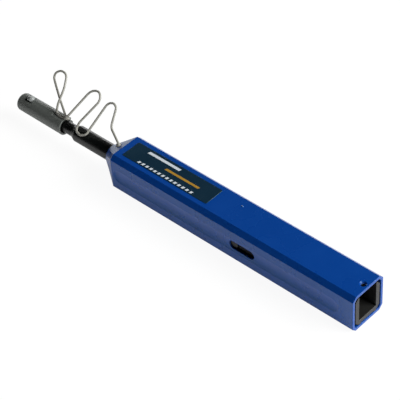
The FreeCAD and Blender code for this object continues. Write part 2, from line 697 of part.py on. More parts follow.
def backstop_pawl():
    """The leaf that clicks over the take-up reel's teeth and lets it turn one way."""
    y = (REEL_BACK_Y, REEL_BACK_Y + REEL_FLANGE)
    reach = REEL_RADIUS - BACKSTOP_DEPTH + WORKING_GAP
    return leaf(TAKE_UP_X, reach, BACKSTOP_ANGLE, TAKE_UP_X - LEAF_REACH, y)


def supply_brake():
    """The leaf that rubs on the rim of the supply reel's back flange."""
    y = (REEL_BACK_Y, REEL_BACK_Y + REEL_FLANGE)
    reach = REEL_RADIUS + WORKING_GAP
    return leaf(SUPPLY_X, reach, BRAKE_ANGLE, SUPPLY_X + LEAF_REACH, y)


def strand(points):
    """A round thread along straight runs."""
    pieces = []
    for a, b in zip(points, points[1:]):
        run = V(*b) - V(*a)
        pieces.append(Part.makeCylinder(THREAD_RADIUS, run.Length, V(*a), run))
        pieces.append(Part.makeSphere(THREAD_RADIUS, V(*b)))
    shape = pieces[0]
    for piece in pieces[1:-1]:
        shape = shape.fuse(piece)
    return shape


def cleaning_thread():
    """From the supply pack over the guide pins, through the cam to the tip, and back."""
    over = GUIDE_PIN_Z + GUIDE_PIN_RADIUS + THREAD_RADIUS + RUNNING_GAP
    leave = REEL_Z + SUPPLY_PACK + THREAD_RADIUS + RUNNING_GAP
    arrive = REEL_Z - TAKE_UP_PACK - THREAD_RADIUS - RUNNING_GAP
    guide_x = CAM_REAR_END + THREAD_LEAD
    bends = (GUIDE_PIN_XS[1] + GUIDE_PIN_LEAD, GUIDE_PIN_XS[0] - GUIDE_PIN_LEAD)
    supply = [(SUPPLY_X, PACK_Y, leave), (bends[0], PACK_Y, over)]
    supply += [(bends[1], PACK_Y, over), (guide_x, -STRAND_Y, AXIS_Z)]
    supply += [(THREAD_TURN_X, -STRAND_Y, AXIS_Z)]
    take_up = [(THREAD_TURN_X, STRAND_Y, AXIS_Z), (guide_x, STRAND_Y, AXIS_Z)]
    take_up += [(TAKE_UP_X, PACK_Y, arrive)]
    turn = Part.makeTorus(STRAND_Y, THREAD_RADIUS, V(THREAD_TURN_X, 0, AXIS_Z))
    nose = (THREAD_TURN_X - 2 * STRAND_Y, THREAD_TURN_X)
    half = 2 * STRAND_Y
    front = box(nose, (-half, half), (AXIS_Z - half, AXIS_Z + half))
    return strand(supply).fuse(turn.common(front)).fuse(strand(take_up))


def guide_cap():
    shape = turned([(CAP_RIM_X, CAP_RIM_RADIUS), (CAP_TIP_X, CAP_TIP_RADIUS)])
    tip_edge = [e for e in shape.Edges if abs(e.CenterOfMass.x - CAP_TIP_X) < 0.01]
    shape = shape.makeFillet(CAP_EDGE, [e for e in tip_edge if e.Length > CAP_TIP_RADIUS * 2])
    mouth_end = CAP_RIM_X - CAP_MOUTH_DEPTH
    shape = shape.cut(rod_x((mouth_end, CAP_RIM_X + OVERCUT), CAP_MOUTH_RADIUS))
    shape = shape.cut(rod_x((CAP_BORE_END, mouth_end), NECK_RADIUS + SLIDE_GAP))
    shape = shape.cut(rod_x((INSERT_BACK, CAP_BORE_END), CAP_CHAMBER_RADIUS))
    shape = shape.cut(rod_x((CAP_TIP_X - OVERCUT, INSERT_BACK), INSERT_RADIUS))
    top = (AXIS_Z, AXIS_Z + 2 * CAP_RIM_RADIUS)
    shape = shape.cut(box(WINDOW_X, (-WINDOW_WIDTH / 2, WINDOW_WIDTH / 2), top))
    flat = (AXIS_Z + CAP_RIM_RADIUS - CAP_FLAT_DROP, AXIS_Z + 2 * CAP_RIM_RADIUS)
    run = (CAP_RIM_X - CAP_FLAT_LENGTH, CAP_RIM_X)
    shape = shape.cut(box(run, (-CAP_RIM_RADIUS, CAP_RIM_RADIUS), flat))
    notch = (CAP_RIM_X - RIM_NOTCH_DEPTH, CAP_RIM_X)
    low = AXIS_Z + RIM_NOTCH_RISE
    return shape.cut(box(notch, (0, 2 * CAP_RIM_RADIUS), (low, low + RIM_NOTCH_WIDTH)))


def cap_insert():
    front = CAP_TIP_X + INSERT_RECESS
    shape = rod_x((front, INSERT_BACK), INSERT_RADIUS)
    nub_z = (AXIS_Z + FERRULE_RADIUS, AXIS_Z + CAP_RIM_RADIUS + NUB_PROUD)
    nub = box(NUB_X, (-NUB_WIDTH / 2, NUB_WIDTH / 2), nub_z)
    ramp = [e for e in nub.Edges if e.CenterOfMass.z > nub_z[1] - 0.01]
    nub = nub.makeChamfer(NUB_CHAMFER, ramp)
    shape = shape.fuse(nub)
    shape = shape.cut(rod_x((front - OVERCUT, INSERT_BACK + OVERCUT), FERRULE_RADIUS))
    lead = (FERRULE_RADIUS + FERRULE_LEAD, FERRULE_RADIUS)
    return shape.cut(cone_x((front, front + FERRULE_LEAD), lead)).removeSplitter()


# The strap's path: (x, y, height above the pen's axis) points and the bend's radius at each.
STRAP_FLAT = CAP_RIM_RADIUS - CAP_FLAT_DROP + WIRE_RADIUS
STRAP_PATH = [
    ((CAP_RIM_X + 0.6, 0.9, STRAP_FLAT), 0.0),
    ((-38.3, 0.2, STRAP_FLAT), 1.6),
    ((-41.6, 0.2, STRAP_FLAT + 0.2), 1.2),
    ((-42.6, 1.8, 6.9), 12.0),
    ((-43.1, 7.2, 12.5), 9.0),
    ((-45.3, 11.6, 16.3), 3.3),
    ((-49.4, 12.1, 16.3), 4.3),
    ((-52.9, 10.2, 13.7), 2.5),
    ((-49.0, 7.8, 10.8), 13.6),
    ((-43.7, 4.7, 7.8), 14.2),
    ((-36.2, 0.4, 5.4), 0.6),
    ((-34.5, 0.2, 6.4), 0.9),
    ((-29.9, 11.4, 16.1), 4.6),
    ((-25.9, 11.7, 16.6), 2.2),
    ((-23.1, 9.9, 15.0), 3.6),
    ((-27.7, 0.3, 6.4), 5.0),
    ((-27.6, -2.3, 4.0), 2.0),
    ((-24.4, -3.1, 3.4), 1.5),
    ((-21.7, -2.0, 4.3), 2.0),
    ((-21.3, 0.5, 6.5), 6.0),
    ((-19.2, 10.2, 15.2), 3.1),
    ((-16.5, 10.9, 15.8), 1.8),
    ((-14.5, 10.2, 15.0), 2.1),
    ((-12.7, 4.4, 9.0), 3.6),
    ((LUG_X, 0.0, LUG_TOP), 0.0),
]


def rounded_path(path):
    """Edges of straight runs joined by tangent arcs of the given radii."""
    edges = []
    corners = [V(x, y, AXIS_Z + z) for (x, y, z), radius in path]
    radii = [radius for point, radius in path]
    start = corners[0]
    for before, corner, after, radius in zip(corners, corners[1:], corners[2:], radii[1:]):
        back = (before - corner).normalize()
        ahead = (after - corner).normalize()
        turn = math.pi - back.getAngle(ahead)
        trim = radius * math.tan(turn / 2)
        first = corner + back * trim
        last = corner + ahead * trim
        to_centre = (back + ahead).normalize()
        middle = corner + to_centre * (radius / math.cos(turn / 2) - radius)
        edges.append(Part.LineSegment(start, first).toShape())
        edges.append(Part.Arc(first, middle, last).toShape())
        start = last
    edges.append(Part.LineSegment(start, corners[-1]).toShape())
    return edges


def strap():
    edges = rounded_path(STRAP_PATH)
    start = edges[0].FirstParameter
    ahead = edges[0].tangentAt(start)
    section = Part.Wire(Part.makeCircle(WIRE_RADIUS, edges[0].valueAt(start), ahead))
    shape = Part.Wire(edges).makePipeShell([section], True, False)
    x = (LUG_X - LUG_LENGTH / 2, LUG_X + LUG_LENGTH / 2)
    lug = box(x, (-LUG_WIDTH / 2, LUG_WIDTH / 2), (LUG_FLOOR_Z, LUG_TOP_Z + LUG_HEAD))
    return shape.fuse(lug)


NODES = {
    "outer_sleeve": outer_sleeve,
    "label": label,
    "rack_bar": rack_bar,
    "strap": strap,
    "core_frame": core_frame,
    "bay_cover": bay_cover,
    "nozzle_tube": nozzle_tube,
    "nozzle_clip": nozzle_clip,
    "take_up_axle": lambda: axle(TAKE_UP_X),
    "supply_axle": lambda: axle(SUPPLY_X),
    "thread_guide_pins": thread_guide_pins,
    "backstop_pawl": backstop_pawl,
    "supply_brake": supply_brake,
    "spring_rod": spring_rod,
    "return_spring": return_spring,
    "cleaning_thread": cleaning_thread,
    "take_up_reel": take_up_reel,
    "take_up_thread": lambda: thread_pack(TAKE_UP_X, TAKE_UP_PACK),
    "pinion": pinion,
    "supply_reel": supply_reel,
    "supply_thread": lambda: thread_pack(SUPPLY_X, SUPPLY_PACK),
    "cam_shaft": cam_shaft,
    "head_shaft": head_shaft,
    "head_spring": head_spring,
    "guide_cap": guide_cap,
    "cap_insert": cap_insert,
}

os.makedirs("parts", exist_ok=True)
for name, make in NODES.items():
    shape = make()
    shape.translate(V(-BODY_LENGTH / 2, 0, 0))
    shape.exportStep("parts/" + name + ".step")
    print(name, shape.isValid(), len(shape.Solids), round(shape.Volume, 2))
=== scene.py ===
import math

import bmesh
import bpy
from mathutils import Matrix, Vector


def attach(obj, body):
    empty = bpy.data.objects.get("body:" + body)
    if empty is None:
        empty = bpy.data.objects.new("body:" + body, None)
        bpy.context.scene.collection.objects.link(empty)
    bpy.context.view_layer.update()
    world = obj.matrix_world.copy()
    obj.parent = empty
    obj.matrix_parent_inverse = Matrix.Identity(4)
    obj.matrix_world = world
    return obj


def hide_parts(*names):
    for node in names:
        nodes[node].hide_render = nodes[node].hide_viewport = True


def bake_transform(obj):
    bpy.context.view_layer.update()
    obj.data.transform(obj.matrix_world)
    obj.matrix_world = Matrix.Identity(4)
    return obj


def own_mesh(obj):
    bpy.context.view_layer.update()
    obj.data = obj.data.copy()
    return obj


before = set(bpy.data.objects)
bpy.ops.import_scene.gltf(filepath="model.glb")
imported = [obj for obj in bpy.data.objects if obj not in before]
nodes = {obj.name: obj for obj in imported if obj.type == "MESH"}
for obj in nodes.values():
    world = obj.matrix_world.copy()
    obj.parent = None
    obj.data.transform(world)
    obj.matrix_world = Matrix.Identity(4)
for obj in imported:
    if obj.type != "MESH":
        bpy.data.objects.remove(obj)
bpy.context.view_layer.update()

# The pen's lengths are measured from the sleeve's front shoulder, as in the part's source.
MILLIMETRE = 0.001
PEN_MIDDLE = 63.2
AXIS_Z = 9.0
WIRE_RADIUS = 0.5
LABEL_TOP = 18.12
BODY_LENGTH = 126.4

# Camera, fitted to the photograph
CAMERA_AT = (327.13, -343.55, 462.54)
CAMERA_AZIMUTH = 45.458
CAMERA_ELEVATION = 42.625
CAMERA_ROLL = -4.158
CAMERA_LENS = 150.07


def pen(x, y, z):
    """A point in metres from the pen's own millimetres."""
    return Vector((x - PEN_MIDDLE, y, z)) * MILLIMETRE


def material(name):
    mat = bpy.data.materials.new(name)
    mat.use_nodes = True
    return mat, mat.node_tree.nodes, mat.node_tree.links


def add(tree, kind, **values):
    """A node with its sockets set by name, where spaces are underscores."""
    node = tree.new(kind)
    for key, value in values.items():
        node.inputs[key.replace("_", " ")].default_value = value
    return node


def plastic(name, colour, dark, roughness, specular=0.4, grain=0.02, grain_scale=4500.0,
            edge=0.12, mottle=0.25, tint=(1, 1, 1), zones=()):
    """Moulded plastic: two close tones, a fine moulded grain and softly broken edges.

    Each zone is an axis, its middle and half width in the node, and the edges' radius in it.
    """
    mat, tree, links = material(name)
    shader = tree["Principled BSDF"]
    where = tree.new("ShaderNodeTexCoord")
    tone = add(tree, "ShaderNodeTexNoise", Scale=90.0, Detail=3.0)
    ramp = tree.new("ShaderNodeValToRGB")
    ramp.color_ramp.elements[0].position = 0.5 - mottle
    ramp.color_ramp.elements[0].color = (*dark, 1)
    ramp.color_ramp.elements[1].position = 0.5 + mottle
    ramp.color_ramp.elements[1].color = (*colour, 1)
    fine = add(tree, "ShaderNodeTexNoise", Scale=grain_scale, Detail=2.0)
    rough = add(tree, "ShaderNodeMapRange", To_Min=roughness - 0.05, To_Max=roughness + 0.05)
    bevel = tree.new("ShaderNodeBevel")
    bevel.samples = 8
    bevel.inputs["Radius"].default_value = edge * MILLIMETRE
    place = tree.new("ShaderNodeSeparateXYZ")
    links.new(where.outputs["Object"], place.inputs["Vector"])
    for axis, middle, half, radius in zones:
        inside = tree.new("ShaderNodeMath")
        inside.operation = "COMPARE"
        inside.inputs[1].default_value = middle * MILLIMETRE
        inside.inputs[2].default_value = half * MILLIMETRE
        size = add(tree, "ShaderNodeMapRange", To_Max=radius * MILLIMETRE)
        size.inputs["To Min"].default_value = edge * MILLIMETRE
        if bevel.inputs["Radius"].is_linked:
            links.new(bevel.inputs["Radius"].links[0].from_socket, size.inputs["To Min"])
        links.new(place.outputs[axis], inside.inputs[0])
        links.new(inside.outputs[0], size.inputs["Value"])
        links.new(size.outputs["Result"], bevel.inputs["Radius"])
    bump = add(tree, "ShaderNodeBump", Strength=grain, Distance=0.00005)
    links.new(where.outputs["Object"], tone.inputs["Vector"])
    links.new(where.outputs["Object"], fine.inputs["Vector"])
    links.new(tone.outputs["Fac"], ramp.inputs["Fac"])
    links.new(ramp.outputs["Color"], shader.inputs["Base Color"])
    links.new(fine.outputs["Fac"], bump.inputs["Height"])
    links.new(bevel.outputs["Normal"], bump.inputs["Normal"])
    links.new(bump.outputs["Normal"], shader.inputs["Normal"])
    links.new(tone.outputs["Fac"], rough.inputs["Value"])
    links.new(rough.outputs["Result"], shader.inputs["Roughness"])
    shader.inputs["Specular IOR Level"].default_value = specular
    shader.inputs["Specular Tint"].default_value = (*tint, 1)
    return mat


def steel(name):
    """Drawn wire and ground pins, with fine lines along them."""
    mat, tree, links = material(name)
    shader = tree["Principled BSDF"]
    where = tree.new("ShaderNodeTexCoord")
    stretch = tree.new("ShaderNodeMapping")
    stretch.inputs["Scale"].default_value = (200.0, 4000.0, 4000.0)
    lines = add(tree, "ShaderNodeTexNoise", Scale=1.0, Detail=3.0)
    rough = add(tree, "ShaderNodeMapRange", To_Min=0.2, To_Max=0.4)
    bump = add(tree, "ShaderNodeBump", Strength=0.05, Distance=0.00002)
    links.new(where.outputs["Object"], stretch.inputs["Vector"])
    links.new(stretch.outputs["Vector"], lines.inputs["Vector"])
    links.new(lines.outputs["Fac"], rough.inputs["Value"])
    links.new(rough.outputs["Result"], shader.inputs["Roughness"])
    links.new(lines.outputs["Fac"], bump.inputs["Height"])
    links.new(bump.outputs["Normal"], shader.inputs["Normal"])
    shader.inputs["Base Color"].default_value = (0.55, 0.55, 0.54, 1)
    shader.inputs["Metallic"].default_value = 1.0
    return mat


def thread(name):
    """Microfibre thread: pale, with the twist of its fibres."""
    mat, tree, links = material(name)
    shader = tree["Principled BSDF"]
    where = tree.new("ShaderNodeTexCoord")
    twist = add(tree, "ShaderNodeTexWave", Scale=2600.0, Distortion=2.0)
    ramp = tree.new("ShaderNodeValToRGB")
    ramp.color_ramp.elements[0].color = (0.62, 0.61, 0.58, 1)
    ramp.color_ramp.elements[1].color = (0.86, 0.86, 0.84, 1)
    bump = add(tree, "ShaderNodeBump", Strength=0.4, Distance=0.00004)
    links.new(where.outputs["Object"], twist.inputs["Vector"])
    links.new(twist.outputs["Fac"], ramp.inputs["Fac"])
    links.new(ramp.outputs["Color"], shader.inputs["Base Color"])
    links.new(twist.outputs["Fac"], bump.inputs["Height"])
    links.new(bump.outputs["Normal"], shader.inputs["Normal"])
    shader.inputs["Roughness"].default_value = 0.9
    shader.inputs["Sheen Weight"].default_value = 0.3
    return mat


BLUE = plastic("sleeve_blue", (0.0022, 0.056, 0.305), (0.0018, 0.050, 0.285), 0.28, specular=0.36,
               tint=(0.6, 0.97, 1.0), edge=0.04,
               zones=[("Z", AXIS_Z, 4.3, 0.6), ("X", BODY_LENGTH - PEN_MIDDLE, 0.7, 0.45)])
FILM = plastic("label_film", (0.0050, 0.0270, 0.0500), (0.0035, 0.0210, 0.0410), 0.3, grain=0.01,
               edge=0.05)
BLACK = plastic("frame_black", (0.020, 0.020, 0.019), (0.013, 0.013, 0.012), 0.38, specular=0.25)
TUBE = plastic("nozzle_black", (0.004, 0.005, 0.005), (0.003, 0.003, 0.003), 0.3, edge=0.2)
CAP = plastic("cap_grey", (0.140, 0.152, 0.142), (0.115, 0.125, 0.115), 0.42, grain=0.06,
              edge=0.15)
INSERT = plastic("insert_grey", (0.38, 0.40, 0.39), (0.32, 0.34, 0.33), 0.35)
STRAP = plastic("strap_grey", (0.37, 0.365, 0.325), (0.29, 0.285, 0.25), 0.35, grain=0.03)
ACETAL = plastic("acetal_natural", (0.70, 0.69, 0.64), (0.62, 0.61, 0.56), 0.35)
STEEL = steel("spring_steel")
THREAD = thread("thread_white")
# Pale blue painted on the gate mark and the parting pip as their highlight
PALE_MARK_HIGHLIGHT = plastic("sleeve_painted_highlight", (0.12, 0.30, 0.62), (0.05, 0.18, 0.50), 0.3, edge=0.05)
# A lighter teal painted along the label's back edge as its highlight
EDGE_HIGHLIGHT_FILM = plastic("label_film_painted_highlight", (0.06, 0.15, 0.19), (0.04, 0.11, 0.15), 0.4, edge=0.02)
PALE_PRINT = plastic("print_pale", (0.72, 0.78, 0.82), (0.64, 0.70, 0.75), 0.5, edge=0.02)
AMBER_PRINT = plastic("print_amber", (0.48, 0.27, 0.02), (0.40, 0.21, 0.02), 0.5, edge=0.02)

FINISHES = {
    "outer_sleeve": BLUE,
    "label": FILM,
    "core_frame": BLACK,
    "bay_cover": BLACK,
    "nozzle_tube": TUBE,
    "guide_cap": CAP,
    "cap_insert": INSERT,
    "nozzle_clip": STEEL,
    "take_up_axle": STEEL,
    "supply_axle": STEEL,
    "thread_guide_pins": STEEL,
    "spring_rod": STEEL,
    "return_spring": STEEL,
    "head_spring": STEEL,
    "cleaning_thread": THREAD,
    "take_up_thread": THREAD,
    "supply_thread": THREAD,
}
for name, node in nodes.items():
    node.data.materials.clear()
    node.data.materials.append(FINISHES.get(name, ACETAL))


def from_bmesh(name, bm, mat):
    """A new piece from a bmesh, linked into the scene with its material."""
    mesh = bpy.data.meshes.new(name)
    bm.normal_update()
    bm.to_mesh(mesh)
    bm.free()
    piece = bpy.data.objects.new(name, mesh)
    bpy.context.scene.collection.objects.link(piece)
    mesh.materials.append(mat)
    return piece


# The strap's path: (x, y, height above the pen's axis) points and the bend's radius at each.
STRAP_FLAT = 4.15
STRAP_PATH = [
    ((-35.9, 0.9, STRAP_FLAT), 0.0),
    ((-38.3, 0.2, STRAP_FLAT), 1.6),
    ((-41.6, 0.2, STRAP_FLAT + 0.2), 1.2),
    ((-42.6, 1.8, 6.9), 12.0),
    ((-43.1, 7.2, 12.5), 9.0),
    ((-45.3, 11.6, 16.3), 3.3),
    ((-49.4, 12.1, 16.3), 4.3),
    ((-52.9, 10.2, 13.7), 2.5),
    ((-49.0, 7.8, 10.8), 13.6),
    ((-43.7, 4.7, 7.8), 14.2),
    ((-36.2, 0.4, 5.4), 0.6),
    ((-34.5, 0.2, 6.4), 0.9),
    ((-29.9, 11.4, 16.1), 4.6),
    ((-25.9, 11.7, 16.6), 2.2),
    ((-23.1, 9.9, 15.0), 3.6),
    ((-27.7, 0.3, 6.4), 5.0),
    ((-27.6, -2.3, 4.0), 2.0),
    ((-24.4, -3.1, 3.4), 1.5),
    ((-21.7, -2.0, 4.3), 2.0),
    ((-21.3, 0.5, 6.5), 6.0),
    ((-19.2, 10.2, 15.2), 3.1),
    ((-16.5, 10.9, 15.8), 1.8),
    ((-14.5, 10.2, 15.0), 2.1),
    ((-12.7, 4.4, 9.0), 3.6),
    ((-4.0, 0.0, 7.6), 0.0),
]
STRAP_STEP = 0.35


def rounded(path):
    """Points along straight runs joined by tangent arcs: straight, arc, straight and so on."""
    corners = [Vector((x, y, AXIS_Z + z)) for (x, y, z), radius in path]
    radii = [radius for point, radius in path]
    runs = []
    start = corners[0]
    for before, corner, after, radius in zip(corners, corners[1:], corners[2:], radii[1:]):
        back = (before - corner).normalized()
        ahead = (after - corner).normalized()
        turn = math.pi - back.angle(ahead)
        trim = radius * math.tan(turn / 2)
        centre = corner + (back + ahead).normalized() * radius / math.cos(turn / 2)
        first = corner + back * trim - centre
        last = corner + ahead * trim - centre
        straight = (centre + first - start).length
        count = max(1, round(straight / STRAP_STEP))
        runs.append([start.lerp(centre + first, part / count) for part in range(count)])
        run = []
        bends = max(2, round(radius * turn / STRAP_STEP))
        for part in range(bends):
            share = part / bends
            one = math.sin((1 - share) * turn) / math.sin(turn)
            other = math.sin(share * turn) / math.sin(turn)
            run.append(centre + first * one + last * other)
        runs.append(run)
        start = centre + last
    count = round((corners[-1] - start).length / STRAP_STEP)
    runs.append([start.lerp(corners[-1], part / count) for part in range(count + 1)])
    return runs


def tube(name, points, radius, mat, sides=14):
    """A round tube along points, without twist, closed by a dome at each end."""
    bm = bmesh.new()
    forward = (points[1] - points[0]).normalized()
    side = forward.cross(Vector((0.3, 0.9, 0.1))).normalized()
    rings = []
    for i, point in enumerate(points):
        ahead = points[min(i + 1, len(points) - 1)] - points[max(i - 1, 0)]
        ahead.normalize()
        side = (side - ahead * side.dot(ahead)).normalized()
        other = ahead.cross(side)
        ring = []
        for step in range(sides):
            turn = 2 * math.pi * step / sides
            out = side * math.cos(turn) + other * math.sin(turn)
            ring.append(bm.verts.new(point + out * radius))
        rings.append(ring)
    for one, two in zip(rings, rings[1:]):
        for step in range(sides):
            after = (step + 1) % sides
            bm.faces.new((one[step], one[after], two[after], two[step]))
    for ring, point, out in ((rings[0], points[0], -1), (rings[-1], points[-1], 1)):
        ahead = (points[-1] - points[-2]) if out > 0 else (points[1] - points[0])
        tip = bm.verts.new(point + ahead.normalized() * out * radius * 0.5)
        for step in range(sides):
            pair = (ring[step], ring[(step + 1) % sides])
            bm.faces.new((*pair, tip) if out > 0 else (*reversed(pair), tip))
    for vert in bm.verts:
        vert.co = pen(*vert.co)
    for face in bm.faces:
        face.smooth = len(face.verts) == 4
    return from_bmesh(name, bm, mat)


# Parts of the strap: first run, the run after the last, the bodies that the part follows, and
# how far from the first body to the second its two ends are
STRAP_PARTS = (
    ("strap_cap", 0, 22, ("cap",), 0.0, 0.0),
    ("strap_front_rise", 22, 23, ("cap", "core"), 0.0, 0.6),
    ("strap_front_arch", 23, 28, ("cap", "core"), 0.6, 0.6),
    ("strap_front_fall", 28, 29, ("cap", "core"), 0.6, 1.0),
    ("strap_bend", 29, 38, ("core",), 0.0, 0.0),
    ("strap_back_rise", 38, 39, ("core", "sleeve"), 0.0, 0.5),
    ("strap_back_arch", 39, 44, ("core", "sleeve"), 0.5, 0.5),
    ("strap_back_fall", 44, 45, ("core", "sleeve"), 0.5, 1.0),
    ("strap_tail", 45, 47, ("sleeve",), 0.0, 0.0),
)
runs = rounded(STRAP_PATH)
for name, first, last, bodies, begin, finish in STRAP_PARTS:
    points = [point for run in runs[first:last] for point in run]
    points += [point for run in runs[last:last + 1] for point in run[:1]]
    piece = tube(name, points, WIRE_RADIUS, STRAP)
    if len(bodies) == 1:
        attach(piece, bodies[0])
    elif begin == finish:
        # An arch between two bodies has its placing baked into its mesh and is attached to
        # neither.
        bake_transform(piece)
    else:
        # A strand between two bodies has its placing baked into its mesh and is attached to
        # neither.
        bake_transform(piece)
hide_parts("strap")


def block(name, low, high, edge, mat):
    """A block with rounded edges between two corners."""
    bm = bmesh.new()
    bmesh.ops.create_cube(bm, size=1.0)
    for vert in bm.verts:
        share = [part + 0.5 for part in vert.co]
        place = [a + (b - a) * part for a, b, part in zip(low, high, share)]
        vert.co = pen(*place)
    bmesh.ops.bevel(bm, geom=bm.edges[:], offset=edge * MILLIMETRE, segments=3, affect="EDGES")
    for face in bm.faces:
        face.smooth = True
    return from_bmesh(name, bm, mat)


# The scooped pockets' moulded skin, with the slot in which the core's lug runs
SCOOP_HALF = 3.2
SCOOP_LEANS = (math.radians(14.0), math.radians(26.0))
SCOOP_ENDS = (4.2, 116.4)
SLOT_HALF = 2.0
SLOT_ENDS = (66.5, 75.4)
SLOT_LIP = 0.6
SIDE_Y = 9.0


def beyond(x, ends):
    """How far x lies past a straight part's nearer end, along the pen."""
    return max(ends[0] - x, 0.0, x - ends[1])


def round_height(x, half, ends):
    """Half the height at x of an outline with two straight sides and round ends."""
    return math.sqrt(max(half ** 2 - beyond(x, ends) ** 2, 0.0))


def arc_steps(ends, half, count):
    """The x of columns that follow both round ends of an outline evenly."""
    turns = [math.pi / 2 * part / count for part in range(count + 1)]
    front = [ends[0] - half * math.cos(turn) for turn in turns]
    return front + [ends[1] + half * math.sin(turn) for turn in turns]


def scoop_depth(z):
    """Depth of a scoop of a shallow upper arc and a steeper lower one, which share their floor."""
    slopes = [math.tan(lean / 2) for lean in SCOOP_LEANS]
    floor_z = SCOOP_HALF * (slopes[0] - slopes[1]) / (slopes[0] + slopes[1])
    deepest = (SCOOP_HALF - floor_z) * slopes[0]
    reach, lean = SCOOP_HALF - floor_z, SCOOP_LEANS[0]
    if z < floor_z:
        reach, lean = SCOOP_HALF + floor_z, SCOOP_LEANS[1]
    radius = reach / math.sin(lean)
    return deepest - radius + math.sqrt(radius ** 2 - (z - floor_z) ** 2)


def scoop(name, side):
    """One side's skin, two halves that meet at the pen's axis and part round the slot."""
    bm = bmesh.new()

    def skin(x, z):
        scale = max(round_height(x, SCOOP_HALF, SCOOP_ENDS) / SCOOP_HALF, 1e-4)
        depth = scoop_depth(min(max(z / scale, -SCOOP_HALF), SCOOP_HALF)) * scale
        return pen(x, side * (SIDE_Y - depth), AXIS_Z + z)

    columns = arc_steps(SCOOP_ENDS, SCOOP_HALF, 12) + arc_steps(SLOT_ENDS, SLOT_HALF, 8)
    columns = sorted(columns + [8.0 + 6.0 * step for step in range(9)] + [90.0, 100.0, 108.0])
    rows = 10
    for half in (-1, 1):
        grid = []
        for x in columns:
            low = round_height(x, SLOT_HALF, SLOT_ENDS)
            high = round_height(x, SCOOP_HALF, SCOOP_ENDS)
            heights = [low + (high - low) * row / rows for row in range(rows + 1)]
            grid.append([bm.verts.new(skin(x, half * z)) for z in heights])
        for one, two in zip(grid, grid[1:]):
            for row in range(rows):
                face = bm.faces.new((one[row], two[row], two[row + 1], one[row + 1]))
                face.smooth = True
        inner = []
        for x, column in zip(columns, grid):
            if round_height(x, SLOT_HALF, SLOT_ENDS) or x in SLOT_ENDS:
                sunk = column[0].co - Vector((0, side * SLOT_LIP * MILLIMETRE, 0))
                inner.append((column[0], bm.verts.new(sunk)))
        for (top, low), (next_top, next_low) in zip(inner, inner[1:]):
            bm.faces.new((top, next_top, next_low, low))
    bmesh.ops.remove_doubles(bm, verts=bm.verts, dist=1e-7)
    bmesh.ops.dissolve_degenerate(bm, edges=bm.edges, dist=1e-7)
    bmesh.ops.recalc_face_normals(bm, faces=bm.faces)
    bm.faces.ensure_lookup_table()
    if bm.faces[0].normal.y * side < 0:
        bmesh.ops.reverse_faces(bm, faces=bm.faces)
    return from_bmesh(name, bm, BLUE)


for name, side in (("scoop_left", -1), ("scoop_right", 1)):
    piece = scoop(name, side)
    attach(piece, "sleeve")

lug = block("strap_lug", (-4.9, -0.85, 13.4), (-3.1, 0.85, 16.9), 0.3, STRAP)
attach(lug, "sleeve")


def band(name, points, width, low, high, mat):
    """A flat strip on the cap's flat, along points, with lowered rounded shoulders."""
    bm = bmesh.new()
    profile = [(-0.5, 0.0), (-0.5, 0.55), (-0.42, 0.85), (-0.25, 1.0)]
    profile += [(-part, rise) for part, rise in reversed(profile)]
    rings = []
    for i, (x, y) in enumerate(points):
        after = points[min(i + 1, len(points) - 1)]
        before = points[max(i - 1, 0)]
        along = Vector((after[0] - before[0], after[1] - before[1])).normalized()
        narrow = 0.7 if i in (0, len(points) - 1) else 1.0
        ring = []
        for part, rise in profile:
            off = part * width * narrow
            ring.append(bm.verts.new(pen(x - along.y * off, y + along.x * off,
                                         low + (high - low) * rise * narrow)))
        rings.append(ring)
    for one, two in zip(rings, rings[1:]):
        for step in range(len(profile) - 1):
            bm.faces.new((one[step], one[step + 1], two[step + 1], two[step])).smooth = True
    for ring in (rings[0], rings[-1]):
        bm.faces.new(ring)
    bmesh.ops.recalc_face_normals(bm, faces=bm.faces)
    return from_bmesh(name, bm, mat)


FOOT_RUN = [(-35.25, 1.45), (-35.8, 1.0), (-36.6, 0.6), (-37.6, 0.3), (-39.0, 0.2), (-40.6, 0.2),
            (-41.6, 0.5), (-42.3, 1.1)]
foot_band = band("strap_foot", FOOT_RUN, 1.5, 12.6, 13.35, STRAP)
nub = block("snap_nub", (-58.8, -1.35, 12.6), (-55.9, 1.35, 14.15), 0.3, INSERT)
# The gate mark and the parting pip carry a painted highlight in pale blue
gate = block("gate_mark", (60.95, 2.85, 17.8), (61.95, 3.45, 18.14), 0.12, PALE_MARK_HIGHLIGHT)
pip = block("parting_pip", (10.9, -9.1, 15.7), (11.9, -8.6, 16.15), 0.12, PALE_MARK_HIGHLIGHT)
# A thin strip on the label's back edge with a painted highlight
edge = block("label_back_edge_highlight", (49.34, -4.7, 18.02), (49.46, 4.7, 18.15), 0.02, EDGE_HIGHLIGHT_FILM)
for piece, body, like in (
    (foot_band, "cap", "strap_grey"),
    (nub, "cap", "insert_grey"),
    (gate, "sleeve", "sleeve_blue"),
    (pip, "sleeve", "sleeve_blue"),
    (edge, "sleeve", "label_film"),
):
    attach(piece, body)


# Springs with closed end turns
COIL_STEPS = 28
RETURN_ENDS = (90.08, 111.92)
STROKE = 9.0
HEAD_ENDS = (1.48, 12.42)
HEAD_TRAVEL = 1.2


def coil(name, ends, radius, wire, turns):
    """A compression spring round the pen's axis between two x values."""
    points = []
    low, high = ends[0] + wire / 2, ends[1] - wire / 2
    pitch = (high - low - 2 * wire) / (turns - 2)
    for step in range(turns * COIL_STEPS + 1):
        turned = step / COIL_STEPS
        x = low + min(turned, 1) * wire + min(max(turned - 1, 0), turns - 2) * pitch
        x += max(turned - turns + 1, 0) * wire
        angle = turned * 2 * math.pi
        points.append(Vector((x, radius * math.cos(angle), AXIS_Z + radius * math.sin(angle))))
    return tube(name, points, wire / 2, STEEL, sides=10)


